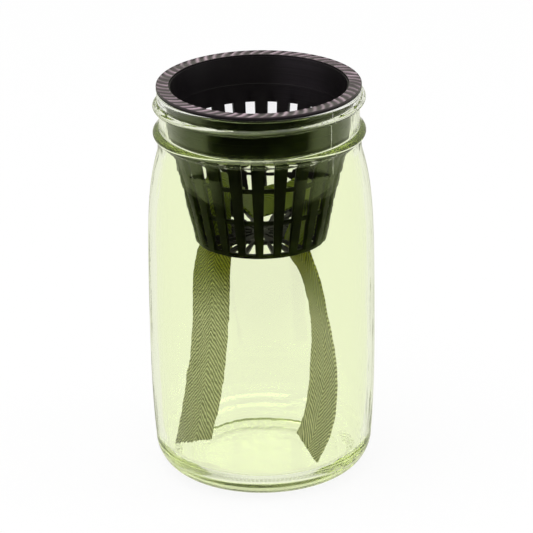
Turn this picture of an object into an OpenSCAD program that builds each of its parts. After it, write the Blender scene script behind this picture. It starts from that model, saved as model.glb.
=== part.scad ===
// Jar planter for growing one plant in water: a wide-mouth preserving jar, a slotted net cup
// that hangs in its mouth, and a cotton tape wick laced through the cup's floor.
// The origin is the middle of the ring that the jar stands on, with +Z up the jar.
// Angles named "bearing" are measured from the front (-Y) towards the right (+X).

/* [Glass jar] */
// Height of the glass, from the table to the sealing rim
jar_h = 163.5; // [150:0.5:180]
// Radius at the widest part of the body
belly_r = 46.3; // [45:0.1:50]
// Height of the widest part of the body
belly_z = 64; // [50:1:80]
// Height where the shoulder ends under the transfer bead
neck_z = 137.6; // [132:0.1:139]
// Inner radius of the mouth
mouth_r = 38.3; // [36:0.1:40]
// Thickness of the glass wall
wall_t = 3; // [2:0.1:4]
// Thickness of the glass in the middle of the base
base_t = 4.5; // [3:0.1:7]
// Height of the hollow under the base
push_up = 2; // [1:0.1:3]
// Height of the rounded heel
heel_h = 13.5; // [10:0.5:18]
// Radius at the top of the heel
heel_r = 44.7; // [43:0.1:45]
// Outer radius of the ring that the jar stands on
foot_r = 32.5; // [30:0.5:35]
// Width of the ring that the jar stands on
foot_w = 2; // [1.5:0.1:4]

/* [Finish of the jar] */
// Radius of the neck between the threads
root_r = 40.5; // [39.5:0.1:41]
// Radius over the screw thread
thread_r = 43; // [42:0.1:44]
// Rise of the thread in one turn
thread_pitch = 5.8; // [4:0.1:7]
// Height of the rounded thread
thread_w = 3; // [2:0.1:4.5]
// Depth from the rim to the middle of the thread where it starts
thread_drop = 8.6; // [8:0.1:10]
// Turns of the thread
thread_turns = 1.06; // [0.9:0.02:1.2]
// Radius over the transfer bead
bead_r = 43.1; // [42:0.1:44]
// Height of the transfer bead
bead_w = 3.6; // [3:0.1:6]
// Depth from the rim to the middle of the transfer bead
bead_drop = 18.2; // [17:0.1:20]
// Radius of the sealing rim outside
rim_r = 41.2; // [41:0.1:42]
// Radius that rounds the outer edge of the sealing rim
rim_round = 1.4; // [0.6:0.1:1.8]

/* [Net cup] */
// Gap between the cup and the mouth of the jar, on the radius
cup_gap = 0.4; // [0.3:0.05:1.5]
// Gap between the flange and the glass rim that it rests on
seat_gap = 0.1; // [0:0.05:0.3]
// Radius of the flange
flange_r = 41.4; // [40.5:0.1:43]
// Thickness of the flange
flange_t = 1.7; // [1.2:0.1:3]
// Thickness of the cup's wall
cup_t = 2.2; // [1.5:0.1:2.8]
// Depth of the cup, from the top of the flange
cup_depth = 65.3; // [55:0.1:70]
// Depth of the straight collar, from the top of the flange
collar_depth = 13.7; // [10:0.1:17]
// Radius of the cup's foot
cup_foot_r = 26.8; // [24:0.1:29]
// Depth of the small step inside the flange
lip_step = 0.8; // [0.4:0.1:1.2]
// Width of the small step inside the flange
lip_w = 0.6; // [0.3:0.1:0.8]
// Number of slots round the cup
slot_n = 24; // [18:1:26]
// Width of a slot in the wall
slot_w = 4; // [3:0.1:4.4]
// Depth from the top of the flange to the top of the slots
slot_top = 20; // [19:0.1:24]
// Bearing of one slot
slot_turn = 6; // [0:1:14]
// Number of hoops that cross the slots
hoop_n = 2; // [1:1:3]
// Height of a hoop
hoop_h = 1.9; // [1.2:0.1:3]
// Thickness of a hoop
hoop_t = 1.1; // [0.8:0.1:1.4]
// Thickness of the cup's floor
floor_t = 1.4; // [1:0.1:2]
// Width of the ring round the floor
floor_ring = 1.6; // [1.2:0.1:2.2]
// Radius where the outer slots of the floor start
floor_slot_r = 11.5; // [10.5:0.1:13]
// Width of the floor's outer slots at their inner end
floor_slot_w = 2.1; // [1.9:0.1:2.3]
// Number of the floor's inner slots
eye_n = 12; // [8:1:14]
// Radius where the floor's inner slots start
eye_r1 = 3.6; // [3:0.1:4.5]
// Radius where the floor's inner slots end
eye_r2 = 9; // [7.5:0.1:9.3]
// Width of the floor's inner slots
eye_w = 1.2; // [0.8:0.1:1.4]

/* [Wick] */
// Width of the tape
tape_w = 15; // [12:0.5:16]
// Thickness of the tape
tape_t = 1; // [0.6:0.1:1.1]
// Width of the tape where a floor slot gathers it
gathered_w = 12.4; // [11:0.1:12.6]
// Gap between the longer tail and the floor of the jar
tail_gap = 4.5; // [4:0.5:12]
// Height of the wick's crest over the floor of the cup
crest_h = 20; // [15:0.5:24]

/* [Hidden] */
$fn = 96;

glass_colour = [0.86, 0.93, 0.72, 0.45];
cup_colour = [0.10, 0.09, 0.10];
tape_colour = [0.56, 0.60, 0.42];

// How far a cutting shape runs past what it cuts
over = 1;

// Height of the wall left under its slots, over the floor
sill = 0.2;

// How far the flat floor inside the jar reaches past the ring that the jar stands on
corner_out = 1;

// Heights and radii that follow from the sizes above
jar_floor_z = push_up + base_t;
shoulder_r = mouth_r + wall_t;
inner_heel_h = heel_h - jar_floor_z + wall_t - corner_out;
flange_z = jar_h + seat_gap;
cup_top = flange_z + flange_t;
cup_r = mouth_r - cup_gap;
collar_z = cup_top - collar_depth;
cup_z = cup_top - cup_depth;
cup_floor_z = cup_z + floor_t;
slot_z = cup_top - slot_top;
floor_slot_end = cup_foot_r - floor_ring;

// Points of a Bezier curve through the corner points p, with n steps
function mix(a, b, t) = a + (b - a) * t;
function bezier_at(p, t) =
    len(p) == 1 ? p[0] : bezier_at([for (i = [0:len(p) - 2]) mix(p[i], p[i + 1], t)], t);
function bezier(p, n) = [for (i = [0:n]) bezier_at(p, i / n)];

// Points of an ellipse's arc about c, with half axes a and b
function arc(c, a, b, from, to, n) =
    [for (i = [0:n]) let (t = mix(from, to, i / n)) c + [a * cos(t), b * sin(t)]];

// The side of the jar from the top of the heel to the neck, d inside the outer face: the body
// swells up to the belly, and its straight part ends where the shoulder starts to turn in
swell_z = mix(heel_h, belly_z, 0.35);
straight_z = mix(belly_z, neck_z, 0.62);
turn_z = mix(belly_z, neck_z, 0.78);
turn_in = 0.3;
function jar_side(d, from_z) = concat(
    bezier([[heel_r - d, from_z], [belly_r - d, swell_z], [belly_r - d, belly_z]], 12),
    bezier([
        [belly_r - d, belly_z + 1],
        [belly_r - d, straight_z],
        [belly_r - d - turn_in, turn_z],
        [shoulder_r - d, neck_z]
    ], 20));

module jar_outer() {
    bead_z = jar_h - bead_drop;
    bead_top = bead_z + bead_w / 2;
    bead_ease = 0.6;
    band_z = jar_h - 4;
    band_ease = 2;
    hollow = bezier([[0, push_up], [foot_r * 0.55, push_up], [foot_r - foot_w, 0]], 8);
    heel = arc([foot_r, heel_h], heel_r - foot_r, heel_h, -90, 0, 14);
    bead = arc([root_r, bead_z], bead_r - root_r, bead_w / 2, -80, 80, 16);
    rim = arc([rim_r - rim_round, jar_h - rim_round], rim_round, rim_round, 0, 90, 6);
    rotate_extrude()
        polygon(concat(
            hollow,
            [[foot_r, 0]],
            heel,
            jar_side(0, heel_h),
            bead,
            [[root_r, bead_top + bead_ease]],
            bezier([[root_r, band_z - band_ease], [root_r, band_z - band_ease / 4], [rim_r, band_z]], 6),
            rim,
            [[0, jar_h]]));
}

module jar_inner() {
    corner_r = foot_r + corner_out;
    heel_top = jar_floor_z + inner_heel_h;
    rotate_extrude()
        polygon(concat(
            [[0, jar_floor_z]],
            arc([corner_r, heel_top], heel_r - wall_t - corner_r, inner_heel_h, -90, 0, 12),
            jar_side(wall_t, heel_top),
            [[mouth_r, neck_z], [mouth_r, jar_h + over], [0, jar_h + over]]));
}

// One rounded ridge that climbs round the neck and dies away at both ends
module screw_thread() {
    steps = 56;
    sides = 7;
    buried_r = root_r - 0.9;
    start = 70;
    stub = 0.12;
    growth = 9;
    ridge = [for (i = [0:steps]) let (
            t = i / steps,
            turn = start + 360 * thread_turns * t,
            fade = min(1, stub + growth * t, stub + growth * (1 - t)),
            z = jar_h - thread_drop + thread_pitch * thread_turns * t)
        for (j = [0:sides]) let (
                a = -90 + 180 * j / sides,
                r = buried_r + (thread_r - buried_r) * fade * cos(a))
            [r * cos(turn), r * sin(turn), z + thread_w / 2 * fade * sin(a)]];
    ring = sides + 1;
    skin = [for (i = [0:steps - 1]) for (j = [0:sides]) let (
            a = i * ring + j,
            b = i * ring + (j + 1) % ring)
        for (f = [[a, b, a + ring], [b, b + ring, a + ring]]) f];
    first = [for (j = [1:sides - 1]) [0, j + 1, j]];
    last = [for (j = [1:sides - 1]) [steps * ring, steps * ring + j, steps * ring + j + 1]];
    polyhedron(ridge, concat(skin, first, last));
}

module glass_jar() {
    color(glass_colour)
        difference() {
            union() {
                jar_outer();
                screw_thread();
            }
            jar_inner();
        }
}

// Outer radius of the cup at a height, straight in the collar and tapered below it
function cup_radius(z) =
    z > collar_z ? cup_r : mix(cup_foot_r, cup_r, (z - cup_z) / (collar_z - cup_z));

// The whole cup before its slots are cut: floor, tapered wall, collar and flange
module cup_blank() {
    edge = 0.4;
    rotate_extrude()
        polygon([
            [0, cup_z],
            [cup_foot_r, cup_z],
            [cup_r, collar_z],
            [cup_r, flange_z],
            [flange_r - edge, flange_z],
            [flange_r, flange_z + edge],
            [flange_r, cup_top - edge],
            [flange_r - edge, cup_top],
            [cup_r - cup_t + lip_w, cup_top],
            [cup_r - cup_t + lip_w, cup_top - lip_step],
            [cup_r - cup_t, cup_top - lip_step],
            [cup_r - cup_t, collar_z],
            [cup_radius(cup_floor_z) - cup_t, cup_floor_z],
            [0, cup_floor_z]
        ]);
}

module round_cup(n) {
    for (i = [0:n - 1])
        rotate([0, 0, slot_turn - 90 + 360 * i / n])
            children();
}

module wall_slots() {
    round_cup(slot_n)
        translate([cup_foot_r - cup_t - over, -slot_w / 2, cup_floor_z + sill])
            cube([cup_r, slot_w, slot_z - cup_floor_z - sill]);
}

// Wedges from the middle of the floor out to its rim, one under each wall slot
module floor_slots() {
    end_w = slot_w - 0.2;
    translate([0, 0, cup_z - over])
        linear_extrude(over + floor_t + 2 * sill) {
            round_cup(slot_n)
                polygon([
                    [floor_slot_r, -floor_slot_w / 2],
                    [floor_slot_end, -end_w / 2],
                    [floor_slot_end, end_w / 2],
                    [floor_slot_r, floor_slot_w / 2]
                ]);
            round_cup(eye_n)
                translate([eye_r1, -eye_w / 2])
                    square([eye_r2 - eye_r1, eye_w]);
        }
}

// Hoops that cross the wall slots behind the ribs
module hoops() {
    inset = 0.15;
    step = (slot_z - cup_floor_z) / (hoop_n + 1);
    for (i = [1:hoop_n]) {
        z1 = cup_floor_z + step * i - hoop_h / 2;
        z2 = z1 + hoop_h;
        r1 = cup_radius(z1) - cup_t + inset;
        r2 = cup_radius(z2) - cup_t + inset;
        rotate_extrude()
            polygon([[r1, z1], [r1 + hoop_t, z1], [r2 + hoop_t, z2], [r2, z2]]);
    }
}

module net_cup() {
    color(cup_colour) {
        difference() {
            cup_blank();
            wall_slots();
            floor_slots();
        }
        hoops();
    }
}

// The tape lies through two floor slots, at these bearings and this radius
slot_step = 360 / slot_n;
left_bearing = slot_turn - 6 * slot_step;
right_bearing = slot_turn + 3 * slot_step;
gather_r = (floor_slot_r + floor_slot_end) / 2;
function at_bearing(a) = [gather_r * sin(a), -gather_r * cos(a)];

// Stations down a tail: how far it has swung from its slot, how far it has dropped as a share
// of the tail, the heading across the tape from its inner edge, its lean and its width
left_tail = [
    [[-10.4, -5.2], 1, 183, -5, tape_w],
    [[-9.4, -4.6], 0.94, 183, -5, tape_w],
    [[-6.7, -2.2], 0.78, 183, -4, tape_w],
    [[-3.7, 0.6], 0.55, 185, 0, tape_w],
    [[-2.5, 1.8], 0.34, 186, 0, tape_w],
    [[-1.9, 1.4], 0.17, 187, 0, tape_w],
    [[-0.7, 0.3], 0.07, 186, 0, mix(gathered_w, tape_w, 0.75)]
];
right_tail = [
    [[1.4, 0.3], 0.06, 132, 0, mix(gathered_w, tape_w, 0.75)],
    [[4.9, 0.7], 0.15, 120, 0, tape_w],
    [[7.5, 0.7], 0.25, 116, 0, tape_w],
    [[9.4, 0.7], 0.37, 118, 0, tape_w],
    [[10.4, 0.2], 0.49, 122, 0, tape_w],
    [[10.6, -0.2], 0.61, 128, 0, tape_w],
    [[10.2, -0.8], 0.71, 132, 0, tape_w],
    [[8.8, -2.2], 0.82, 136, 2, tape_w],
    [[6.4, -4], 0.91, 138, 3, tape_w],
    [[3.8, -5.6], 0.97, 140, 3, tape_w]
];

// Stations over the cup's floor: place as a share of the cup's foot, height as a share of the
// crest, the heading across the tape, its lean and its width
bridge = [
    [[-0.71, -0.06], 0.34, 178, 0, tape_w - 1],
    [[-0.73, -0.03], 0.66, 163, 8, tape_w],
    [[-0.66, 0.04], 0.93, 140, 20, tape_w],
    [[-0.48, 0.09], 0.97, 114, 24, tape_w],
    [[-0.26, 0.11], 0.66, 97, 16, tape_w],
    [[-0.08, 0.1], 0.49, 90, 18, tape_w],
    [[0.14, 0.06], 0.66, 88, 34, tape_w],
    [[0.4, 0.05], 0.75, 90, 30, tape_w],
    [[0.66, 0.05], 0.89, 93, 21, tape_w],
    [[0.83, -0.02], 0.86, 104, 12, tape_w],
    [[0.76, -0.14], 0.6, 118, 4, tape_w - 1],
    [[0.64, -0.31], 0.3, 132, 0, mix(gathered_w, tape_w, 0.5)]
];
tail_drop = cup_z - jar_floor_z - tail_gap;

// How far the tape runs straight above and below the floor's slots
slot_margin = 0.9;

function tail_station(s, bearing) = [
    at_bearing(bearing)[0] + s[0][0],
    at_bearing(bearing)[1] + s[0][1],
    cup_z - s[1] * tail_drop, s[2], s[3], s[4]];
function slot_station(bearing, heading, z) =
    [at_bearing(bearing)[0], at_bearing(bearing)[1], z, heading, 0, gathered_w];
function bridge_station(s) = [
    s[0][0] * cup_foot_r, s[0][1] * cup_foot_r,
    cup_floor_z + s[1] * crest_h, s[2], s[3], s[4]];

stations = concat(
    [for (s = left_tail) tail_station(s, left_bearing)],
    [for (z = [cup_z - slot_margin, cup_floor_z + slot_margin])
        slot_station(left_bearing, 270 + left_bearing, z)],
    [for (s = bridge) bridge_station(s)],
    [for (z = [cup_floor_z + slot_margin, cup_z - slot_margin])
        slot_station(right_bearing, 90 + right_bearing, z)],
    [for (s = right_tail) tail_station(s, right_bearing)]);

// A smooth curve through the stations: u counts stations from the first
function station(i) = stations[max(0, min(len(stations) - 1, i))];
function smooth(u) = let (
        i = min(floor(u), len(stations) - 2),
        t = u - i,
        a = station(i - 1),
        b = station(i),
        c = station(i + 1),
        d = station(i + 2))
    b + (c - a) * (t / 2) + (2 * a - 5 * b + 4 * c - d) * (t * t / 2)
    + (3 * b - a - 3 * c + d) * (t * t * t / 2);
function place(s) = [s[0], s[1], s[2]];
function across(s) = [cos(s[4]) * cos(s[3]), cos(s[4]) * sin(s[3]), sin(s[4])];
function unit(v) = v / norm(v);

module wick() {
    per_station = 2;
    last = (len(stations) - 1) * per_station;
    cells = 4;
    ring = 2 * (cells + 1);
    points = [for (k = [0:last]) let (
            u = k / per_station,
            s = smooth(u),
            ahead = unit(place(smooth(min(u + 0.05, len(stations) - 1))) - place(smooth(max(u - 0.05, 0)))),
            side = across(s),
            out = unit(cross(ahead, side)))
        for (j = [0:ring - 1]) let (
                front = j <= cells,
                v = front ? j / cells : (ring - 1 - j) / cells)
            place(s) + side * (s[5] * (v - 0.5)) + out * (front ? tape_t / 2 : -tape_t / 2)];
    skin = [for (k = [0:last - 1]) for (j = [0:ring - 1]) let (
            a = k * ring + j,
            b = k * ring + (j + 1) % ring)
        for (f = [[a, b, a + ring], [b, b + ring, a + ring]]) f];
    first = [for (j = [0:cells - 1]) let (a = j, b = ring - 1 - j)
        for (f = [[a, b, a + 1], [a + 1, b, b - 1]]) f];
    end = last * ring;
    final = [for (j = [0:cells - 1]) let (a = end + j, b = end + ring - 1 - j)
        for (f = [[a, a + 1, b], [a + 1, b - 1, b]]) f];
    color(tape_colour)
        polyhedron(points, concat(skin, first, final));
}

glass_jar();
net_cup();
wick();
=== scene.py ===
import math
import random

import bmesh
import bpy
from mathutils import Matrix, Vector, noise


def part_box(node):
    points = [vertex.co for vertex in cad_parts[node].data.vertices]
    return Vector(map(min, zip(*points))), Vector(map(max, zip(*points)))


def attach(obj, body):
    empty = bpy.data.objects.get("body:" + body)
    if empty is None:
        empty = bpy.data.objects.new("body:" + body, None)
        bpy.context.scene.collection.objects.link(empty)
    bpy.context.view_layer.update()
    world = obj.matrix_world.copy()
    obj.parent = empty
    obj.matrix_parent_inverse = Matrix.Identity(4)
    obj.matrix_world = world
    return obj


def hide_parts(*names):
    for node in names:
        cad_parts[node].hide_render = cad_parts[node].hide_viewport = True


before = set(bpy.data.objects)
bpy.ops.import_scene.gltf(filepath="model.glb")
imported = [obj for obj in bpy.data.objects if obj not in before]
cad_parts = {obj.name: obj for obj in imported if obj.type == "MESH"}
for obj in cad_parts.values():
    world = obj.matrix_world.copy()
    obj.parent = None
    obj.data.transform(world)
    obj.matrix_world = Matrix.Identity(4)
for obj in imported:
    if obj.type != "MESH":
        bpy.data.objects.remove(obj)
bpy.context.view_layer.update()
scene = bpy.context.scene
mm = 0.001

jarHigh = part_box("glass_jar")[1]
cupLow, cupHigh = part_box("net_cup")


# Shader maths written as Python

class Wire:
    def __init__(self, shader, socket):
        self.shader = shader
        self.socket = socket

    def math(self, operation, *others, clamp=False):
        inputs = dict(enumerate([self, *others]))
        return self.shader.add("ShaderNodeMath", {"operation": operation, "use_clamp": clamp}, inputs)

    def __add__(self, other):
        return self.math("ADD", other)

    def __radd__(self, other):
        return self.math("ADD", other)

    def __sub__(self, other):
        return self.math("SUBTRACT", other)

    def __rsub__(self, other):
        return self.shader.add("ShaderNodeMath", {"operation": "SUBTRACT"}, {0: other, 1: self})

    def __mul__(self, other):
        return self.math("MULTIPLY", other)

    def __rmul__(self, other):
        return self.math("MULTIPLY", other)

    def __truediv__(self, other):
        return self.math("DIVIDE", other)

    def __pow__(self, other):
        return self.math("POWER", other)

    def clamped(self):
        return self.math("ADD", 0.0, clamp=True)

    def between(self, low, high):
        settings = {"interpolation_type": "SMOOTHSTEP"}
        return self.shader.add("ShaderNodeMapRange", settings, {0: self, 1: low, 2: high, 3: 0.0, 4: 1.0})


class Shader:
    def __init__(self, owner):
        owner.use_nodes = True
        self.tree = owner.node_tree
        self.tree.nodes.clear()

    # a node of one type, its settings first, then the values or links of its sockets
    def add(self, nodeType, settings=None, inputs=None, output=0):
        node = self.tree.nodes.new(nodeType)
        for key, value in (settings or {}).items():
            setattr(node, key, value)
        for key, value in (inputs or {}).items():
            if isinstance(value, Wire):
                self.tree.links.new(value.socket, node.inputs[key])
            else:
                node.inputs[key].default_value = value
        return Wire(self, node.outputs[output]) if node.outputs else None

    def coordinates(self, kind="Object"):
        return self.add("ShaderNodeTexCoord", output=kind)

    def split(self, vector):
        parts = self.add("ShaderNodeSeparateXYZ", inputs={0: vector}).socket.node.outputs
        return [Wire(self, parts[i]) for i in range(3)]

    def join(self, x, y, z):
        return self.add("ShaderNodeCombineXYZ", inputs={0: x, 1: y, 2: z})

    def mix(self, factor, first, second):
        return self.add("ShaderNodeMix", {"data_type": "RGBA"}, {0: factor, 6: first, 7: second}, output=2)

    def noise(self, vector, scale, detail=2.0, roughness=0.5):
        inputs = {"Vector": vector, "Scale": scale, "Detail": detail, "Roughness": roughness}
        return self.add("ShaderNodeTexNoise", {"noise_dimensions": "3D"}, inputs)

    # a height in mm
    def bump(self, height):
        return self.add("ShaderNodeBump", inputs={"Strength": 1.0, "Distance": mm, "Height": height})

    def surface(self, shader, volume=None):
        inputs = {"Surface": shader}
        if volume:
            inputs["Volume"] = volume
        self.add("ShaderNodeOutputMaterial", inputs=inputs)


def newMaterial(name):
    material = bpy.data.materials.new(name)
    return material, Shader(material)


# Modelling helpers

def deselectAll():
    if bpy.context.object and bpy.context.object.mode != "OBJECT":
        bpy.ops.object.mode_set(mode="OBJECT")
    bpy.ops.object.select_all(action="DESELECT")


def makeActive(piece):
    deselectAll()
    piece.select_set(True)
    bpy.context.view_layer.objects.active = piece


def partWay(a, b, share):
    return a[0] + (b[0] - a[0]) * share, a[1] + (b[1] - a[1]) * share


def bezierPoints(corners, count):
    def at(points, share):
        while len(points) > 1:
            points = [partWay(a, b, share) for a, b in zip(points, points[1:])]
        return points[0]
    return [at(corners, i / count) for i in range(count + 1)]


def arcPoints(centre, a, b, start, end, count):
    angles = [math.radians(start + (end - start) * i / count) for i in range(count + 1)]
    return [(centre[0] + a * math.cos(t), centre[1] + b * math.sin(t)) for t in angles]


def linePoints(first, last, count):
    return [partWay(first, last, i / count) for i in range(count + 1)]


# An outline of (radius, height) in mm, drawn point by point and spun about the upright axis
def lathe(name, outline, steps, closed=False):
    deselectAll()
    bpy.ops.mesh.primitive_plane_add(size=mm)
    piece = bpy.context.object
    piece.name = piece.data.name = name
    bpy.ops.object.mode_set(mode="EDIT")
    bpy.ops.mesh.select_mode(type="VERT")
    bpy.ops.mesh.select_all(action="SELECT")
    bpy.ops.mesh.merge(type="CENTER")
    bpy.ops.transform.translate(value=(outline[0][0] * mm, 0, outline[0][1] * mm))
    route = outline + outline[:1] if closed else outline
    for (r0, z0), (r1, z1) in zip(route, route[1:]):
        move = ((r1 - r0) * mm, 0, (z1 - z0) * mm)
        bpy.ops.mesh.extrude_vertices_move(TRANSFORM_OT_translate={"value": move})
    bpy.ops.mesh.select_all(action="SELECT")
    bpy.ops.mesh.spin(steps=steps, angle=math.tau, center=(0, 0, 0), axis=(0, 0, 1))
    bpy.ops.mesh.select_all(action="SELECT")
    bpy.ops.mesh.remove_doubles(threshold=1e-6)
    bpy.ops.mesh.normals_make_consistent(inside=False)
    bpy.ops.object.mode_set(mode="OBJECT")
    return piece


def applyModifier(piece, kind, **settings):
    makeActive(piece)
    modifier = piece.modifiers.new(kind.lower(), kind)
    for key, value in settings.items():
        setattr(modifier, key, value)
    bpy.ops.object.modifier_apply(modifier=modifier.name)


def smoothByAngle(piece, degrees):
    makeActive(piece)
    bpy.ops.object.shade_smooth_by_angle(angle=math.radians(degrees))


def setMaterial(piece, material):
    piece.data.materials.clear()
    piece.data.materials.append(material)


def smoothMax(a, b, blend):
    overlap = max(0.0, blend - abs(a - b)) / blend
    return max(a, b) + overlap * overlap * blend / 4


# The camera, fitted to the photograph

cameraSettings = {
    "targetHeight": 80 * mm,
    "distance": 1.5004,
    "elevation": 22.15,
    "roll": -0.841,
    "focalPixels": 3657.8,
    "centrePixel": (261.61, 279.70),
    "imageSize": 533,
}


def addCamera(values):
    data = bpy.data.cameras.new("camera")
    camera = bpy.data.objects.new("camera", data)
    scene.collection.objects.link(camera)
    tilt = math.radians(values["elevation"])
    roll = math.radians(values["roll"])
    ahead = Vector((0, math.cos(tilt), -math.sin(tilt)))
    right = Vector((1, 0, 0))
    up = right.cross(ahead)
    rolledRight = math.cos(roll) * right + math.sin(roll) * up
    rolledUp = math.cos(roll) * up - math.sin(roll) * right
    turn = Matrix((rolledRight, rolledUp, -ahead)).transposed().to_4x4()
    place = Vector((0, 0, values["targetHeight"])) - ahead * values["distance"]
    camera.matrix_world = Matrix.Translation(place) @ turn
    size = values["imageSize"]
    data.sensor_width = 36
    data.lens = values["focalPixels"] / size * data.sensor_width
    data.shift_x = (size / 2 - values["centrePixel"][0]) / size
    data.shift_y = (values["centrePixel"][1] - size / 2) / size
    data.clip_start = 0.1
    data.clip_end = 20
    scene.camera = camera


addCamera(cameraSettings)
print("camera placed")


# The glass jar

jar = {
    "height": jarHigh.z / mm,
    "bellyRadius": jarHigh.x / mm,
    "bellyHeight": 64,
    "neckHeight": 137.6,
    "mouthRadius": 38.3,
    "wall": 3,
    "base": 4.5,
    "pushUp": 2,
    "heelHeight": 13.5,
    "heelRadius": 44.7,
    "footRadius": 32.5,
    "footWidth": 2,
    "cornerOut": 1,
    "rootRadius": 40.5,
    "threadRadius": 43,
    "threadPitch": 5.8,
    "threadWidth": 3,
    "threadDrop": 8.6,
    "threadTurns": 1.06,
    "threadStart": 70,
    "threadBlend": 0.4,
    "beadRadius": 43.1,
    "beadWidth": 3.6,
    "beadDrop": 18.2,
    "beadFillet": 0.9,
    "bandDrop": 4,
    "rimRadius": 41.2,
    "rimRound": 1.4,
    "mouthRound": 0.7,
    "steps": 288,
    "innerWave": 0.06,
    "outerWave": 0.02,
    "seamBearing": 45,
}


def jarSide(values, inset, fromHeight):
    belly, bellyZ, neckZ = values["bellyRadius"] - inset, values["bellyHeight"], values["neckHeight"]
    swellZ = values["heelHeight"] + 0.35 * (bellyZ - values["heelHeight"])
    lower = bezierPoints([(values["heelRadius"] - inset, fromHeight), (belly, swellZ), (belly, bellyZ)], 18)
    upper = bezierPoints([
        (belly, bellyZ + 1),
        (belly, bellyZ + 0.62 * (neckZ - bellyZ)),
        (belly - 0.3, bellyZ + 0.78 * (neckZ - bellyZ)),
        (values["mouthRadius"] + values["wall"] - inset, neckZ),
    ], 32)
    return lower + upper


def jarOutline(values):
    top, wall, pushUp = values["height"], values["wall"], values["pushUp"]
    foot, footWidth = values["footRadius"], values["footWidth"]
    heelZ, heelR = values["heelHeight"], values["heelRadius"]
    hollow = bezierPoints([(0, pushUp), (foot * 0.55, pushUp), (foot - footWidth, 0.12)], 12)
    footRing = [(foot - footWidth * 0.75, 0), (foot - footWidth * 0.4, 0)]
    heel = arcPoints((foot, heelZ), heelR - foot, heelZ, -90, 0, 22)

    root, fillet = values["rootRadius"], values["beadFillet"]
    beadZ = top - values["beadDrop"]
    half, out = values["beadWidth"] / 2, values["beadRadius"] - root
    beadLow, beadHigh = beadZ - half, beadZ + half
    under = root + 0.65
    bead = bezierPoints([(under, beadLow - fillet), (under, beadLow),
                         (root + out * 0.5, beadZ - half * 0.87)], 6)
    bead += arcPoints((root, beadZ), out, half, -52, 60, 20)
    bead += bezierPoints([(root + out * 0.47, beadZ + half * 0.88), (root, beadHigh),
                          (root, beadHigh + fillet)], 6)

    rim, rimRound = values["rimRadius"], values["rimRound"]
    bandZ = top - values["bandDrop"]
    neck = linePoints((root, beadHigh + fillet + 0.3), (root, bandZ - 7), 5)
    neck += linePoints((root, bandZ - 6.8), (root, bandZ - 2.2), 22)  # close rings, for the thread
    band = bezierPoints([(root, bandZ - 2), (root, bandZ - 0.5), (rim, bandZ)], 10)
    band += linePoints((rim, bandZ + 0.2), (rim, top - rimRound - 0.2), 10)
    lip = arcPoints((rim - rimRound, top - rimRound), rimRound, rimRound, 0, 90, 8)
    mouth, mouthRound = values["mouthRadius"], values["mouthRound"]
    lip += arcPoints((mouth + mouthRound, top - mouthRound), mouthRound, mouthRound, 90, 180, 6)
    bore = linePoints((mouth, top - 2), (mouth, values["neckHeight"] + 1), 10)

    floorZ = pushUp + values["base"]
    corner = foot + values["cornerOut"]
    innerHeelZ = heelZ - floorZ + wall - values["cornerOut"]
    inside = list(reversed(jarSide(values, wall, floorZ + innerHeelZ)))
    innerHeel = arcPoints((corner, floorZ + innerHeelZ), heelR - wall - corner, innerHeelZ, 0, -90, 18)
    floor = bezierPoints([(corner - 1.5, floorZ), (corner * 0.5, floorZ), (0, floorZ + 0.4)], 12)
    return (hollow + footRing + heel + jarSide(values, 0, heelZ)[1:] + bead + neck + band + lip + bore
            + inside[1:] + innerHeel[1:] + floor)


# Height of the thread's ridge over the axis, where a point at this turn and height meets it
def threadReach(values, angle, height):
    buried = values["rootRadius"] - 0.9
    reach = 0.0
    for lap in (0, 360):
        turned = (angle - values["threadStart"]) % 360 + lap
        along = turned / (360 * values["threadTurns"])
        if along > 1:
            continue
        fade = min(1, 0.12 + 9 * along, 0.12 + 9 * (1 - along))
        middle = values["height"] - values["threadDrop"] + values["threadPitch"] * turned / 360
        lift = (height - middle) / (values["threadWidth"] / 2 * fade)
        if abs(lift) < 1:
            reach = max(reach, buried + (values["threadRadius"] - buried) * fade * (1 - lift * lift) ** 0.5)
    return reach


def makeJar(values):
    piece = lathe("jar_glass", jarOutline(values), values["steps"])
    threadLow = values["height"] - values["beadDrop"] + 3
    threadHigh = values["height"] - 0.8
    mouth = values["mouthRadius"]
    for vertex in piece.data.vertices:
        x, y, z = vertex.co / mm
        radius = math.hypot(x, y)
        if radius < 1:
            continue
        angle = math.degrees(math.atan2(y, x)) % 360
        reach = radius
        if radius > values["rootRadius"] - 0.2 and threadLow < z < threadHigh:
            reach = smoothMax(radius, threadReach(values, angle, z), values["threadBlend"])
        inner = z > values["pushUp"] + 2 and radius < values["bellyRadius"] - values["wall"] + 0.02
        innerWall = inner and z < values["neckHeight"] + 24 and radius > 20
        wave = noise.noise(Vector((x * 0.09, y * 0.09, z * 0.035)))
        fine = noise.noise(Vector((x * 0.25 + 31, y * 0.25, z * 0.07)))
        if innerWall and reach < mouth + 0.01 and z > values["neckHeight"]:
            reach += 0.05 * wave
        elif innerWall and reach <= radius:
            lowDown = min(1, (values["neckHeight"] - z) / 12 + 0.3)
            reach += values["innerWave"] * (wave + 0.35 * fine) * lowDown
        elif radius > 30 and z > 2:
            reach += values["outerWave"] * (fine - 0.6)
        vertex.co.x *= reach / radius
        vertex.co.y *= reach / radius
    piece.data.update()
    smoothByAngle(piece, 60)
    return piece


glass = {
    "tint": (0.957, 0.992, 0.807, 1),
    "clearTint": (0.985, 0.985, 0.975, 1),
    "clearFrom": 157,
    "clearTo": 159,
    "absorb": (0.64, 0.69, 0.38, 1),
    "density": 15,
    "shine": (0.8, 0.95, 0.45, 1),
    "dots": (0.30, 0.34, 0.12, 1),
    "dotStrength": 0.9,
    "dotColumns": 132,
    "dotRowGap": 1.35,
    "ior": 1.5,
}


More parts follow.
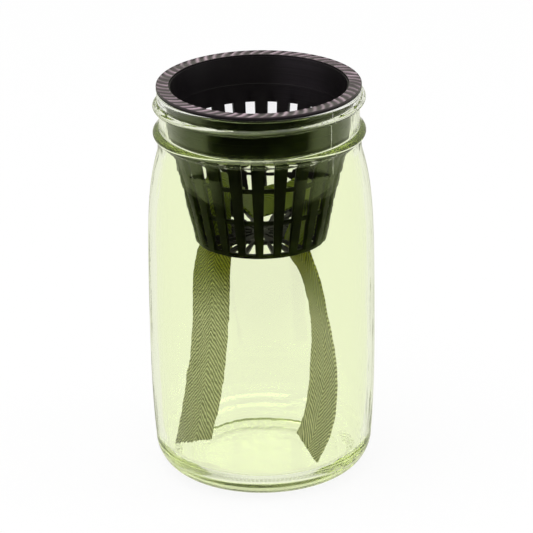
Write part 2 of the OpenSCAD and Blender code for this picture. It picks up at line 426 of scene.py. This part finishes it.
def makeGlassMaterial(values):
    material, shader = newMaterial("clear_glass")
    place = shader.coordinates()
    x, y, z = [part / mm for part in shader.split(place)]
    radius = (x * x + y * y) ** 0.5
    angle = y.math("ARCTAN2", x)
    clear = z.between(values["clearFrom"], values["clearTo"])
    backNeck = z.between(134, 138) * y.between(-4, 12)
    tint = shader.mix(clear.math("MAXIMUM", backNeck), values["tint"], values["clearTint"])
    flow = shader.noise(shader.join(x, y, z * 0.3), 0.11, 3.0, 0.45)
    outside = radius.between(39.6, 40.2)
    # a mould seam on the neck, and rows of dots pressed round under the heel
    seamAngle = math.radians(jar["seamBearing"] - 90)
    away = (x * -math.sin(seamAngle) + y * math.cos(seamAngle)).math("ABSOLUTE")
    facing = (x * math.cos(seamAngle) + y * math.sin(seamAngle)).between(10, 20)
    seam = (1 - away.between(0.12, 0.38)) * outside * facing * z.between(134, 142)
    columns = (angle * values["dotColumns"]).math("SINE").between(-0.2, 0.5)
    rows = (radius * (math.tau / values["dotRowGap"])).math("SINE").between(-0.3, 0.6)
    heelRing = radius.between(34.6, 35.2) * (1 - radius.between(39.2, 40))
    frontHeel = (1 - z.between(4, 5)) * (1 - y.between(0, 18))
    dots = columns * rows * heelRing * frontHeel
    tint = shader.mix(dots * values["dotStrength"], tint, values["dots"])
    height = flow * 0.12 + seam * 0.10 + dots * 0.5
    normal = shader.bump(height)
    principled = shader.add("ShaderNodeBsdfPrincipled", inputs={
        "Base Color": tint,
        "Roughness": 0.0,
        "IOR": values["ior"],
        "Transmission Weight": 1.0,
        "Specular Tint": values["shine"],
        "Normal": normal,
    })
    body = shader.add("ShaderNodeVolumeAbsorption", inputs={
        "Color": values["absorb"],
        "Density": values["density"],
    })
    shader.surface(principled, body)
    return material


jarGlass = makeJar(jar)
setMaterial(jarGlass, makeGlassMaterial(glass))
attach(jarGlass, "jar")
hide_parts("glass_jar")
print("jar made")


# The slotted net cup

cup = {
    "top": cupHigh.z / mm,
    "bottom": cupLow.z / mm,
    "flangeRadius": cupHigh.x / mm,
    "flangeThickness": 1.7,
    "radius": 37.9,
    "wall": 2.2,
    "collarDepth": 13.7,
    "footRadius": 26.8,
    "floor": 1.4,
    "lipWidth": 0.6,
    "lipStep": 0.8,
    "slots": 24,
    "slotWidth": 4,
    "slotTop": 20,
    "slotTurn": 6,
    "sill": 0.2,
    "floorSlotStart": 11.5,
    "floorSlotEnd": 24.3,
    "floorSlotWidth": 2.1,
    "eyes": 12,
    "eyeStart": 3.6,
    "eyeEnd": 9,
    "eyeWidth": 1.2,
    "hoopWidth": 1.9,
    "hoopThickness": 1.1,
    "hoops": 2,
    "edge": 0.22,
    "flangeEdge": 0.32,
    "flangeRings": 14,
    "ripples": 58,
    "rippleDepth": 0.46,
}


def cupWallRadius(values, height):
    collar = values["top"] - values["collarDepth"]
    rise = (height - values["bottom"]) / (collar - values["bottom"])
    return values["footRadius"] + (values["radius"] - values["footRadius"]) * min(1, rise)


def cupOutline(values):
    low, top, wall = values["bottom"], values["top"], values["wall"]
    floorTop = low + values["floor"]
    sillTop = floorTop + values["sill"]
    slotTop = top - values["slotTop"]
    collar = top - values["collarDepth"]
    floorRings = [values["eyeStart"], values["eyeEnd"], values["floorSlotStart"], values["floorSlotEnd"]]
    foot = values["footRadius"]
    innerTop = values["radius"] - wall
    shoulder = top - values["lipStep"]
    outside = [(cupWallRadius(values, z), z) for z in (low + 0.35, sillTop, slotTop)]
    inside = [(cupWallRadius(values, z) - wall, z) for z in (slotTop, sillTop, floorTop)]
    outerTop = values["radius"]
    return ([(0, low)] + [(r, low) for r in floorRings] + [(foot - 0.35, low)] + outside
            + [(outerTop - 0.12, collar - 0.5), (outerTop, collar), (outerTop, shoulder)]
            + [(innerTop, shoulder), (innerTop, collar)] + inside
            + [(r, floorTop) for r in reversed(floorRings)] + [(0, floorTop)])


# Half the width of the openings that reach this place, and the angle from one to the next
def openingHalf(values, radius, height):
    low = values["bottom"]
    onFloor = height < low + values["floor"] + 0.01
    if onFloor and radius < values["eyeEnd"] + 0.1:
        return values["eyeWidth"] / 2, 360 / values["eyes"]
    if onFloor and radius < values["floorSlotEnd"] + 0.1:
        start, end = values["floorSlotStart"], values["floorSlotEnd"]
        share = (radius - start) / (end - start)
        narrow, wide = values["floorSlotWidth"] / 2, values["slotWidth"] / 2 - 0.1
        return narrow + (wide - narrow) * share, 360 / values["slots"]
    if height < values["top"] - values["slotTop"] + 0.1:
        return values["slotWidth"] / 2, 360 / values["slots"]
    return None, None


columnsPerSlot = 6


# Slides the upright columns of vertices to the edges of the openings
def slideColumns(piece, values):
    step = 360 / (values["slots"] * columnsPerSlot)
    for vertex in piece.data.vertices:
        radius = math.hypot(vertex.co.x, vertex.co.y)
        if radius < 1 * mm:
            continue
        half, sector = openingHalf(values, radius / mm, vertex.co.z / mm)
        if half is None:
            continue
        angle = math.degrees(math.atan2(vertex.co.y, vertex.co.x))
        offset = (angle + sector / 2) % sector - sector / 2
        size = abs(offset)
        wanted = math.degrees(math.asin(half * mm / radius))
        if size <= step + 0.01:
            moved = size / step * wanted
        else:
            moved = wanted + (size - step) * (sector / 2 - wanted) / (sector / 2 - step)
        turned = math.radians(angle - offset + math.copysign(moved, offset))
        vertex.co.x, vertex.co.y = radius * math.cos(turned), radius * math.sin(turned)


# Which kind of opening a point may belong to, and how many degrees it lies from the opening's middle
def openingAt(values, point):
    radius, height = math.hypot(point.x, point.y) / mm, point.z / mm
    angle = math.degrees(math.atan2(point.y, point.x)) % 360
    floorTop = values["bottom"] + values["floor"]
    if height > floorTop + values["sill"] * 0.8:
        inside = height < values["top"] - values["slotTop"] + 0.05
        kind, count = ("wall", values["slots"]) if inside else (None, 1)
    elif radius < values["eyeEnd"] + 0.1:
        kind, count = ("eye", values["eyes"]) if radius > values["eyeStart"] - 0.1 else (None, 1)
    elif values["floorSlotStart"] - 0.1 < radius < values["floorSlotEnd"] + 0.1:
        kind, count = "floor", values["slots"]
    else:
        kind, count = None, 1
    sector = 360 / count
    return kind, abs((angle + sector / 2) % sector - sector / 2)


# Cuts the openings through both skins and walls their sides
def cutOpenings(piece, values):
    makeActive(piece)
    bpy.ops.object.mode_set(mode="EDIT")
    bpy.ops.mesh.select_mode(type="FACE")
    mesh = bmesh.from_edit_mesh(piece.data)
    # the width of each kind, and the share of half of it that a face's middle may lie out
    kinds = {"wall": (values["slotWidth"], 0.7), "floor": (values["slotWidth"], 0.6),
             "eye": (values["eyeWidth"], 0.8)}
    for face in mesh.faces:
        centre = face.calc_center_median()
        kind, offset = openingAt(values, centre)
        inOpening = False
        if kind:
            width, share = kinds[kind]
            radius = math.hypot(centre.x, centre.y) / mm
            limit = math.degrees(math.asin(width / 2 / radius)) * share
            lying = abs(face.normal.z) > 0.9
            inOpening = lying == (kind != "wall") and offset < limit
        face.select_set(inOpening)
    bmesh.update_edit_mesh(piece.data)
    bpy.ops.mesh.delete(type="FACE")
    bpy.ops.mesh.select_mode(type="EDGE")
    bpy.ops.mesh.select_all(action="DESELECT")
    bpy.ops.mesh.select_non_manifold(extend=False, use_wire=False, use_multi_face=False,
                                     use_non_contiguous=False, use_verts=False)
    bpy.ops.mesh.bridge_edge_loops(type="PAIRS")  # each hole in the outer skin to its partner inside
    bpy.ops.mesh.select_all(action="SELECT")
    bpy.ops.mesh.normals_make_consistent(inside=False)
    bpy.ops.object.mode_set(mode="OBJECT")


def turnPiece(piece, degrees):
    piece.data.transform(Matrix.Rotation(math.radians(degrees), 4, "Z"))


def makeHoop(values, number):
    floorTop = values["bottom"] + values["floor"]
    slotTop = values["top"] - values["slotTop"]
    middle = floorTop + (slotTop - floorTop) * number / (values["hoops"] + 1)
    half, thick, edge = values["hoopWidth"] / 2, values["hoopThickness"], values["edge"]
    low = cupWallRadius(values, middle - half) - values["wall"] + 0.15
    high = cupWallRadius(values, middle + half) - values["wall"] + 0.15
    outline = [(low + edge, middle - half), (low + thick - edge, middle - half),
               (low + thick, middle - half + edge), (high + thick, middle + half - edge),
               (high + thick - edge, middle + half), (high + edge, middle + half),
               (high, middle + half - edge), (low, middle - half + edge)]
    return lathe("hoop", outline, 144, closed=True)


# The flange: a flat ring with slanted ripples pressed into its top
def makeFlange(values):
    top, outer = values["top"], values["flangeRadius"]
    inner = values["radius"] - values["wall"] + values["lipWidth"]
    under = top - values["flangeThickness"]
    edge = values["flangeEdge"]
    topFace = linePoints((outer - edge, top), (inner + 0.2, top), values["flangeRings"])
    outline = ([(inner + 0.4, under), (outer - edge, under)]
               + arcPoints((outer - edge, under + edge), edge, edge, -90, 0, 3)[1:]
               + arcPoints((outer - edge, top - edge), edge, edge, 0, 90, 4)[:-1]
               + topFace + [(inner, top - 0.2), (inner, under + 0.3)])
    piece = lathe("flange", outline, 720, closed=True)
    middle = (outer + inner) / 2
    width = outer - inner
    crests = piece.data.attributes.new("crest", "FLOAT", "POINT")
    for vertex in piece.data.vertices:
        x, y, z = vertex.co / mm
        radius = math.hypot(x, y)
        if z < top - 0.01:
            continue
        across = (radius - middle) / width
        angle = math.atan2(y, x)
        wander = noise.noise(Vector((x * 0.12, y * 0.12, 3.0)))
        phase = values["ripples"] * angle + 5.2 * across + 3.0 * across * across + 1.6 * wander
        crest = (0.5 + 0.5 * math.cos(phase + 0.5 * math.sin(phase))) ** 1.3
        # the crest value also sets where the plastic's colour takes the painted highlight
        crests.data[vertex.index].value = crest * (0.75 + wander)
        rough = noise.noise(Vector((x * 0.7, y * 0.7, 0.0)))
        edgeFade = min(1, (0.5 - abs(across)) / 0.08)
        dip = values["rippleDepth"] * (1 - crest) * (0.8 + 0.5 * wander) + 0.05 * abs(rough)
        vertex.co.z -= dip * edgeFade * mm
    return piece


def makeCup(values):
    body = lathe("net_cup_body", cupOutline(values), values["slots"] * columnsPerSlot)
    slideColumns(body, values)
    cutOpenings(body, values)
    applyModifier(body, "BEVEL", width=values["edge"] * mm, segments=2, limit_method="ANGLE",
                  angle_limit=math.radians(38))
    turnPiece(body, values["slotTurn"] - 90)
    parts = [makeHoop(values, i + 1) for i in range(values["hoops"])] + [makeFlange(values)]
    deselectAll()
    for part in parts:
        part.select_set(True)
    body.select_set(True)
    bpy.context.view_layer.objects.active = body
    bpy.ops.object.join()
    smoothByAngle(body, 38)
    return body


plastic = {
    "colour": (0.0055, 0.0042, 0.0056, 1),
    "worn": (0.011, 0.0095, 0.010, 1),
    # painted sheen: the colour of a light patch inside at the back of the cup
    "paintedSheen": (0.030, 0.025, 0.031, 1),
    "flange": (0.026, 0.017, 0.023, 1),
    # painted highlight: the lighter colour along the ripple crests of the flange top
    "crest": (0.46, 0.345, 0.40, 1),
    # the outer wall behind the glass: an olive painted for the glass's green light, and a paler colour that
    # is painted sheen at the sides mixed with random worn patches
    "throughGlass": (0.0048, 0.0068, 0.0008, 1),
    "throughSheenAndWear": (0.024, 0.034, 0.005, 1),
    "roughness": 0.38,
    "specular": 0.13,
    "throughSpecular": 0.04,
    "ringHeight": 152.6,
}


def makePlasticMaterial(values):
    material, shader = newMaterial("black_plastic")
    place = shader.coordinates()
    x, y, z = [part / mm for part in shader.split(place)]
    radius = (x * x + y * y) ** 0.5
    cloud = shader.noise(place, 60.0, 4.0, 0.6)
    speck = shader.noise(place, 1400.0, 2.0, 0.6)
    lines = shader.noise(shader.join(x * 0.02, y * 0.02, z * 2.6), 1.0, 3.0, 0.6)
    crest = shader.add("ShaderNodeAttribute", {"attribute_name": "crest"}, output="Fac")
    onFlange = z.between(cup["top"] - 0.9, cup["top"] - 0.5) * radius.between(36.2, 36.5)
    under = 1 - z.between(cup["top"] - 2.4, cup["top"] - 1.9)
    taper = (cup["radius"] - cup["footRadius"]) / (cup["top"] - cup["collarDepth"] - cup["bottom"])
    wall = ((z - cup["bottom"]) * taper + cup["footRadius"]).math("MINIMUM", cup["radius"])
    outside = under * (radius - wall).between(-1.6, -1.2)
    ring = 1 - (z - values["ringHeight"]).math("ABSOLUTE").between(0.08, 0.3)
    patch = shader.noise(place, 34.0, 2.0, 0.4).between(0.5, 0.62)
    black = shader.mix(cloud * 0.7, values["colour"], values["worn"])
    # painted sheen: a streaked light patch inside at the back; and an outer wall behind the glass, painted
    # olive for the glass's green light, and paler at the sides as painted sheen, with random worn patches
    sheenMask = x.between(2, 14) * (1 - x.between(20, 33)) * y.between(4, 24) * z.between(136, 156)
    black = shader.mix(sheenMask * (lines * 1.3 - 0.15).clamped(), black, values["paintedSheen"])
    # painted sheen: the outer wall is paler towards the sides; the noise patches are random wear
    side = x.math("ABSOLUTE").between(10, 27) * 0.75
    outer = shader.mix(side.math("MAXIMUM", patch * 0.6), values["throughGlass"], values["throughSheenAndWear"])
    black = shader.mix(outside, black, outer)
    # painted highlight: the flange top is painted lighter along its ripple crests
    colour = shader.mix(onFlange, black, shader.mix(crest.clamped(), values["flange"], values["crest"]))
    roughness = values["roughness"] + cloud * 0.12 - lines * 0.08
    height = lines * 0.03 + speck * 0.002 + cloud * 0.05 + ring * 0.08
    normal = shader.bump(height)
    # the wall behind the glass keeps less shine than the open mouth
    shiny, dull = [shader.add("ShaderNodeBsdfPrincipled", inputs={
        "Base Color": colour,
        "Roughness": roughness,
        "IOR": 1.46,
        "Specular IOR Level": specular,
        "Coat Weight": onFlange * 0.5,
        "Coat Roughness": 0.3,
        "Normal": normal,
    }) for specular in (values["specular"], values["throughSpecular"])]
    shader.surface(shader.add("ShaderNodeMixShader", inputs={0: outside, 1: shiny, 2: dull}))
    return material


netCup = makeCup(cup)
netCup.name = netCup.data.name = "net_cup_moulding"
setMaterial(netCup, makePlasticMaterial(plastic))
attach(netCup, "cup")
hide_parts("net_cup")
print("net cup made")


# The cotton tape, laced through the cup's floor

tape = {
    "width": 15,
    "thickness": 0.9,
    "gathered": 12.4,
    "tailGap": 4.5,
    "crest": 20,
    "leftSlot": 6,
    "rightSlot": 3,
    "slotMargin": 0.9,
    "cellsAcross": 30,
    "rowLength": 0.8,
    "fray": 0.8,
    "cut": 9,
    "ruffle": 0.4,
}

# How far a tail has swung from its slot, its drop as a share of the tail, the heading across
# the tape from its inner edge, its lean and its width as a share
leftTail = [
    ((-10.9, -5.2), 1, 183, -5, 1),
    ((-9.8, -4.6), 0.94, 183, -5, 1),
    ((-7, -2.2), 0.78, 183, -4, 1),
    ((-3.9, 0.6), 0.55, 185, 0, 1),
    ((-2.7, 1.8), 0.34, 186, 0, 1),
    ((-2.1, 1.4), 0.17, 187, 0, 1),
    ((-0.8, 0.3), 0.07, 186, 0, 0.96),
]
rightTail = [
    ((1.4, 0.3), 0.06, 132, 0, 0.96),
    ((4.9, 0.7), 0.15, 120, 0, 1),
    ((7.5, 0.7), 0.25, 116, 0, 1),
    ((9.4, 0.7), 0.37, 118, 0, 1),
    ((10.4, 0.2), 0.49, 122, 0, 1),
    ((10.6, -0.2), 0.61, 128, 0, 1),
    ((10.2, -0.8), 0.71, 132, 0, 1),
    ((8.8, -2.2), 0.82, 136, 2, 1),
    ((6.4, -4), 0.91, 138, 3, 1),
    ((3.8, -5.6), 0.975, 140, 3, 1),
    ((1, -6.8), 1.03, 142, 3, 1),
]
# Over the floor: place as a share of the foot's radius, height as a share of the crest
bridge = [
    ((-0.71, -0.06), 0.34, 178, 0, 0.93),
    ((-0.73, -0.03), 0.66, 163, 8, 1),
    ((-0.66, 0.04), 0.93, 140, 20, 1),
    ((-0.48, 0.09), 0.97, 114, 24, 1),
    ((-0.26, 0.11), 0.66, 97, 16, 1),
    ((-0.08, 0.1), 0.49, 90, 18, 1),
    ((0.14, 0.06), 0.66, 88, 34, 1),
    ((0.4, 0.05), 0.75, 90, 30, 1),
    ((0.66, 0.05), 0.89, 93, 21, 1),
    ((0.83, -0.02), 0.86, 104, 12, 1),
    ((0.76, -0.14), 0.6, 118, 4, 0.93),
    ((0.64, -0.31), 0.3, 132, 0, 0.91),
]


def tapeStations(values):
    step = 360 / cup["slots"]
    leftBearing = cup["slotTurn"] - values["leftSlot"] * step
    rightBearing = cup["slotTurn"] + values["rightSlot"] * step
    slotRadius = (cup["floorSlotStart"] + cup["footRadius"] - 1.6) / 2
    cupFloor = cup["bottom"] + cup["floor"]
    drop = cup["bottom"] - jar["pushUp"] - jar["base"] - values["tailGap"]
    narrow = values["gathered"] / values["width"]

    def slotPoint(bearing):
        turned = math.radians(bearing)
        return slotRadius * math.sin(turned), -slotRadius * math.cos(turned)

    def tail(rows, bearing):
        x, y = slotPoint(bearing)
        return [(x + dx, y + dy, cup["bottom"] - share * drop, heading, lean, width)
                for (dx, dy), share, heading, lean, width in rows]

    def slot(bearing, heading, heights):
        x, y = slotPoint(bearing)
        return [(x, y, z, heading, 0, narrow) for z in heights]

    under, over = cup["bottom"] - values["slotMargin"], cupFloor + values["slotMargin"]
    foot = cup["footRadius"]
    middle = [(x * foot, y * foot, cupFloor + share * values["crest"], heading, lean, width)
              for (x, y), share, heading, lean, width in bridge]
    return (tail(leftTail, leftBearing) + slot(leftBearing, 270 + leftBearing, (under, over)) + middle
            + slot(rightBearing, 90 + rightBearing, (over, under)) + tail(rightTail, rightBearing))


# A smooth curve through the stations, counted from the first
def smoothStation(stations, u):
    index = min(int(u), len(stations) - 2)
    t = u - index
    a, b, c, d = [stations[max(0, min(len(stations) - 1, index + k))] for k in (-1, 0, 1, 2)]
    return [q + (r - p) * t / 2 + (2 * p - 5 * q + 4 * r - s) * t * t / 2
            + (3 * q - p - 3 * r + s) * t * t * t / 2 for p, q, r, s in zip(a, b, c, d)]


def makeTape(values):
    stations = tapeStations(values)
    samples = 24
    last = (len(stations) - 1) * samples
    route = [smoothStation(stations, i / samples) for i in range(last + 1)]
    along = [0.0]
    for p, q in zip(route, route[1:]):
        along.append(along[-1] + math.dist(p[:3], q[:3]))
    length = along[-1]
    rows = round(length / values["rowLength"])
    cells = values["cellsAcross"]
    deselectAll()
    bpy.ops.mesh.primitive_grid_add(x_subdivisions=cells, y_subdivisions=rows, size=1)
    piece = bpy.context.object
    piece.name = piece.data.name = "wick_tape"
    flat = [(v.co.x, v.co.y + 0.5) for v in piece.data.vertices]
    rng = random.Random(7)
    frayed = [[rng.uniform(-1, 0.35) for _ in range(cells + 1)] for _ in range(2)]
    placeOnCloth = []

    def at(distance):
        distance = max(0.0, min(length, distance))
        low, high = 0, last
        while high - low > 1:
            middle = (low + high) // 2
            low, high = (middle, high) if along[middle] <= distance else (low, middle)
        share = (distance - along[low]) / max(1e-9, along[high] - along[low])
        return [a + (b - a) * share for a, b in zip(route[low], route[high])]

    for vertex, (x, y) in zip(piece.data.vertices, flat):
        distance = y * length
        column = round((x + 0.5) * cells)
        if y > 0.5:  # the right tail's end is cut on the slant, its inner side short
            distance -= values["cut"] * (0.5 + x) * max(0.0, 1 - (length - distance) / 30)
        end = 0 if y < 0.5 else 1
        nearEnd = max(0.0, 1 - min(distance, length - distance) / 1.2) if y in (0.0, 1.0) else 0.0
        distance += (1 if end else -1) * values["fray"] * frayed[end][column] * nearEnd
        placeOnCloth.append(((x + 0.5) * values["width"] / 100, distance / 100))
        here, ahead, behind = at(distance), at(distance + 0.4), at(distance - 0.4)
        forward = (Vector(ahead[:3]) - Vector(behind[:3])).normalized()
        heading, lean = math.radians(here[3]), math.radians(here[4])
        side = Vector((math.cos(lean) * math.cos(heading), math.cos(lean) * math.sin(heading),
                       math.sin(lean)))
        out = forward.cross(side).normalized()
        tight = max(0.0, 1 - here[5]) / (1 - values["gathered"] / values["width"])
        ruffle = values["ruffle"] * tight * math.sin(math.tau * (x * 2.5 + 0.2))
        limp = 0.35 * noise.noise(Vector((x * 1.3, distance * 0.05, 2.0))) * (1 - min(1, tight))
        cupped = 0.5 * (4 * x * x - 0.4) * math.sin(distance * 0.045 + 0.6) * (1 - min(1, tight))
        beyond = min(distance, 0) + max(distance - length, 0)
        place = Vector(here[:3]) + forward * beyond + side * (here[5] * values["width"] * x)
        vertex.co = (place + out * (ruffle + limp + cupped)) * mm
    piece.data.update()
    uv = piece.data.uv_layers[0]
    uv.name = "cut"
    for loop in piece.data.loops:
        uv.data[loop.index].uv = placeOnCloth[loop.vertex_index]
    applyModifier(piece, "SOLIDIFY", thickness=values["thickness"] * mm, offset=0, use_even_offset=True)
    applyModifier(piece, "BEVEL", width=0.25 * mm, segments=2, limit_method="ANGLE",
                  angle_limit=math.radians(60))
    makeActive(piece)
    bpy.ops.object.mode_set(mode="EDIT")
    bpy.ops.mesh.select_all(action="SELECT")
    bpy.ops.mesh.normals_make_consistent(inside=False)
    bpy.ops.object.mode_set(mode="OBJECT")
    smoothByAngle(piece, 60)
    return piece, length


cotton = {
    "light": (0.96, 0.96, 0.61, 1),
    "dark": (0.235, 0.245, 0.12, 1),
    # the tails are darker on their upper part towards the cup, and the tape inside the cup takes a painted
    # shade
    "upperTone": (0.36, 0.39, 0.04, 1),
    "shaded": (0.155, 0.21, 0.004, 1),
    "stripe": 2.0,
    "spine": 0.47,
    "slope": 1.7,
    "yarn": 0.42,
}


def makeCottonMaterial(values):
    material, shader = newMaterial("cotton_tape")
    uv = shader.add("ShaderNodeUVMap", {"uv_map": "cut"})
    u, v = [part * 100 for part in shader.split(uv)[:2]]
    across = (u - values["spine"] * tape["width"]).math("ABSOLUTE")
    wander = shader.noise(shader.join(u * 0.3, v * 0.3, 0.0), 1.0, 2.0)
    stripes = v + across * values["slope"] + wander * 0.5
    twill = (stripes * (math.tau / values["stripe"])).math("SINE").between(-0.7, 0.7)
    yarn = (u * (math.tau / values["yarn"])).math("SINE") * 0.5 + 0.5
    fuzz = shader.noise(shader.join(u, v, 0.0), 3.5, 3.0, 0.7)
    patches = shader.noise(shader.join(u * 0.2, v * 0.1, 0.0), 1.0, 2.0)
    shade = (twill * 0.74 + yarn * 0.06 + fuzz * 0.16 + patches * 0.2 - 0.1).clamped()
    colour = shader.mix(shade, values["dark"], values["light"])
    height = shader.split(shader.coordinates())[2] / mm
    # painted shade: inside the cup the tape is multiplied by the shaded colour; below it the tails are
    # darker above 60 to 88 mm, up to the cup
    inCup = height.between(cup["bottom"] - 4, cup["bottom"] + 4)
    toneAndShade = shader.mix(inCup, values["upperTone"], values["shaded"])
    darkerMask = inCup.math("MAXIMUM", height.between(60, 88))
    colour = shader.add("ShaderNodeMix", {"data_type": "RGBA", "blend_type": "MULTIPLY"},
                        {0: darkerMask, 6: colour, 7: toneAndShade}, output=2)
    normal = shader.bump(twill * 0.16 + yarn * 0.05 + fuzz * 0.08)
    principled = shader.add("ShaderNodeBsdfPrincipled", inputs={
        "Base Color": colour,
        "Roughness": 0.92,
        "Specular IOR Level": 0.2,
        "Sheen Weight": 0.25,
        "Sheen Roughness": 0.5,
        "Normal": normal,
    })
    shader.surface(principled)
    return material


wickTape, tapeLength = makeTape(tape)
setMaterial(wickTape, makeCottonMaterial(cotton))
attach(wickTape, "cup")
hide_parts("wick")
tapeLength * mm
print("wick made, flat length in mm:", round(tapeLength, 1))


# The stage: a pale floor, a white room and soft lamps

room = {
    "floorSize": 8.0,
    "floorColour": (0.93, 0.93, 0.93, 1),
    "floorGlow": 0.9,
    "throughGlow": 0.97,
    "floorFade": (-0.27, -0.17),
    "frontDark": 0.01,
    "mirrorTint": (0.66, 0.67, 0.56, 1),
    "wallFade": (-0.85, -0.35),
    "wallDark": 0.03,
    "softbox": 6.0,
    "fill": 0.75,
}

lamps = [  # name, place, size, watts
    ("overhead", (-0.35, -0.25, 1.5), (1.3, 1.0), 9.0),
    ("rightStrip", (1.30, -0.10, 0.75), (0.5, 1.1), 4.0),
]


# How a ray arrives: from the eye, mirrored off the outside, out of the glass, or straight through it
def rayKinds(shader):
    path = shader.add("ShaderNodeLightPath")
    outputs = path.socket.node.outputs
    names = ("Is Camera Ray", "Is Glossy Ray", "Is Transmission Ray", "Diffuse Depth", "Glossy Depth")
    camera, glossy, through, depth, mirrors = [Wire(shader, outputs[n]) for n in names]
    lighting = depth.math("GREATER_THAN", 0.5)
    through = through * (1 - lighting)
    straight = through * mirrors.math("LESS_THAN", 0.5)
    return camera, glossy * (1 - through) * (1 - lighting), through, straight


def makeFloor(values):
    deselectAll()
    bpy.ops.mesh.primitive_plane_add(size=values["floorSize"])
    floor = bpy.context.object
    floor.name = floor.data.name = "floor"
    material, shader = newMaterial("floor_paper")
    direct, mirrored, through, straight = rayKinds(shader)
    x, y, z = shader.split(shader.coordinates())
    near = y.between(*values["floorFade"])
    share = direct * values["floorGlow"] + through + mirrored
    dim = values["frontDark"] + near * (1 - values["frontDark"])
    glow = direct + through * dim.math("MAXIMUM", straight) * values["throughGlow"] + mirrored * dim
    tint = shader.mix(mirrored, (1, 1, 1, 1), values["mirrorTint"])
    paper = shader.add("ShaderNodeBsdfDiffuse", inputs={"Color": values["floorColour"]})
    light = shader.add("ShaderNodeEmission", inputs={"Color": tint, "Strength": glow})
    shader.surface(shader.add("ShaderNodeMixShader", inputs={0: share, 1: paper, 2: light}))
    setMaterial(floor, material)


def makeWorld(values):
    world = bpy.data.worlds.new("white_room")
    scene.world = world
    shader = Shader(world)
    direct, mirrored, through, straight = rayKinds(shader)
    x, y, z = shader.split(shader.coordinates("Generated"))
    behind = y.between(*values["wallFade"])
    around = values["wallDark"] + behind * (1 - values["wallDark"])
    lit = direct + mirrored + through
    softbox = z.between(0.37, 0.45) * (1 - z.between(0.6, 0.75)) * (1 - y.between(-0.45, -0.1))
    strength = (direct + straight + (1 - lit) * values["fill"]
                + (mirrored + through - straight) * (around + softbox * values["softbox"]))
    tint = shader.mix(mirrored, (1, 1, 1, 1), values["mirrorTint"])
    background = shader.add("ShaderNodeBackground", inputs={"Color": tint, "Strength": strength})
    shader.add("ShaderNodeOutputWorld", inputs={"Surface": background})


def addLamp(name, place, size, watts):
    data = bpy.data.lights.new(name, "AREA")
    data.shape = "RECTANGLE"
    data.size, data.size_y = size
    data.energy = watts
    lamp = bpy.data.objects.new(name, data)
    scene.collection.objects.link(lamp)
    lamp.location = place
    aim = Vector((0, 0, 0.08)) - Vector(place)
    lamp.rotation_euler = aim.to_track_quat("-Z", "Y").to_euler()


makeFloor(room)
makeWorld(room)
for settings in lamps:
    addLamp(*settings)
scene.view_settings.view_transform = "Standard"
scene.cycles.max_bounces = 64
scene.cycles.glossy_bounces = 64
scene.cycles.transmission_bounces = 64
print("stage ready")
